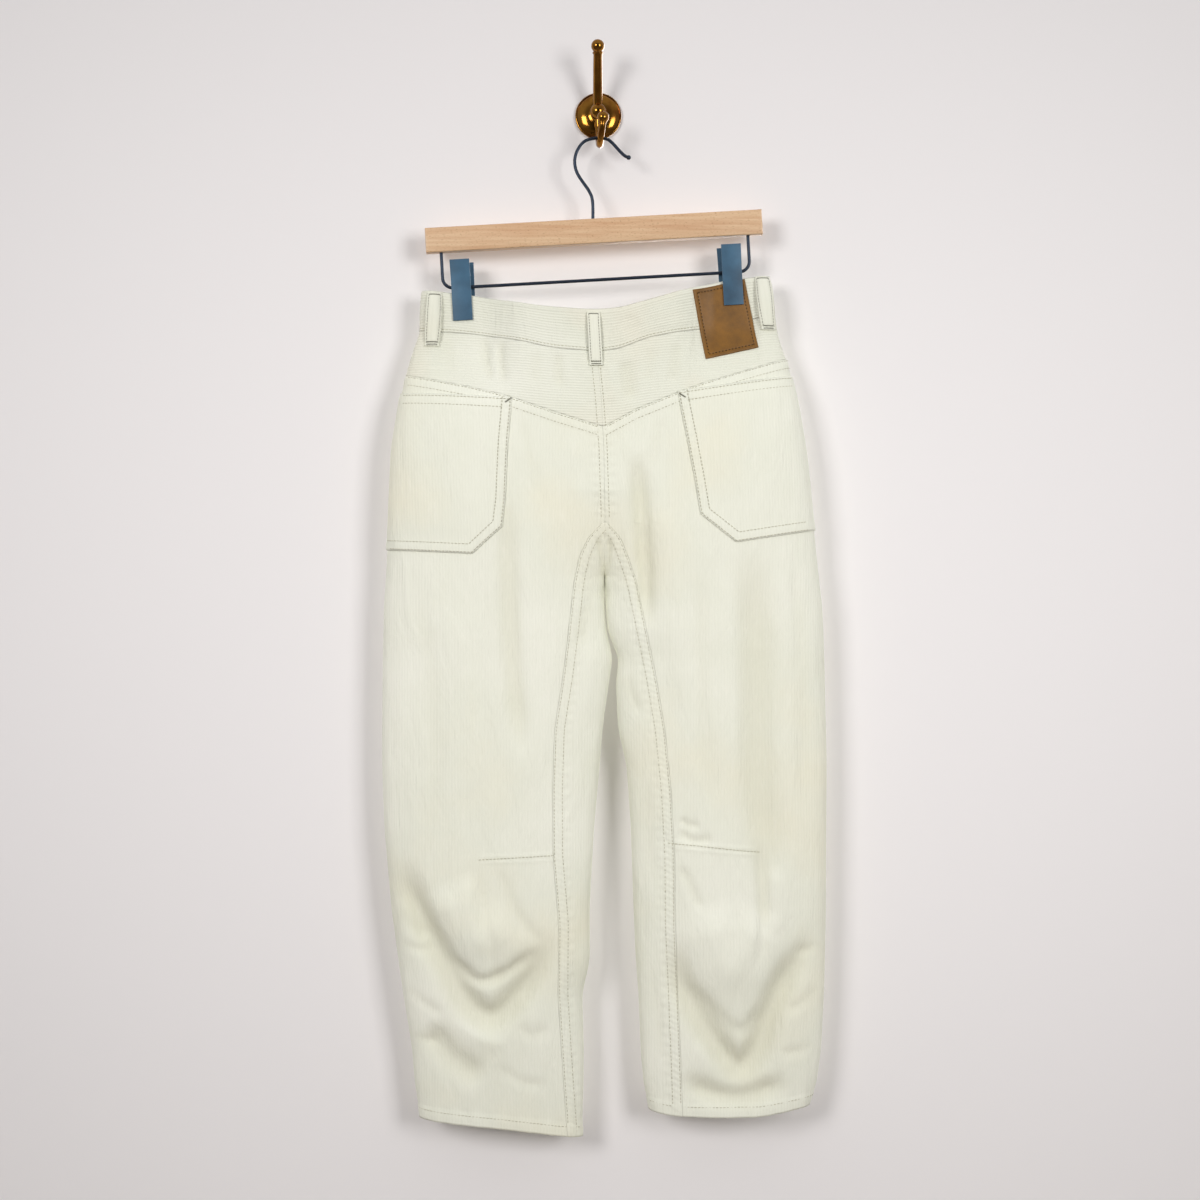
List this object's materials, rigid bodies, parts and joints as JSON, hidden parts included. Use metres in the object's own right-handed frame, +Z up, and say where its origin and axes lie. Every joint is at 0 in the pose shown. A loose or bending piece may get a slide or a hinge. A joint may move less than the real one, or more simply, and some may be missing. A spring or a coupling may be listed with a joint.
{
  "type": "utility trousers on a clip hanger and wall hook",
  "caption": "Cream ribbed cotton trousers with a V yoke, patch pockets, leather patch and barrel legs, hung by the waist from a wooden clip hanger on a brass wall hook.",
  "frame": {"origin": "middle of the wall plate's back face, where it is fixed to the wall", "axes": "+Z up, +Y into the wall, +X to the right as the trousers are seen; their back faces -Y"},
  "size_m": [0.4715, 0.0716, 1.1519],
  "materials": {
    "cloth": "matt ribbed cotton, cream",
    "leather": "smooth waxed tan leather",
    "button": "horn-coloured resin",
    "wood": "clear lacquered beech",
    "dark_wire": "dark plated steel wire",
    "clip_paint": "satin blue-grey paint",
    "brass": "polished and lightly aged brass"
  },
  "bodies": {
    "root": {"waistband_left": "cloth", "waistband_right": "cloth", "yoke_left": "cloth", "yoke_right": "cloth", "back_left": "cloth", "back_right": "cloth", "front_left": "cloth", "front_right": "cloth", "pocket_left": "cloth", "pocket_right": "cloth", "loop_back_centre": "cloth", "loop_back_left": "cloth", "loop_back_right": "cloth", "loop_front_left": "cloth", "loop_front_right": "cloth", "leather_patch": "leather", "waist_button": "button", "hanger_bar": "wood", "hanger_wire": "dark_wire", "hanger_hook": "dark_wire", "clip_left_near_plate": "clip_paint", "clip_left_far_plate": "clip_paint", "clip_left_spring": "dark_wire", "clip_right_near_plate": "clip_paint", "clip_right_far_plate": "clip_paint", "clip_right_spring": "dark_wire", "wall_plate": "brass", "wall_hook": "brass"}
  },
  "joints": []
}
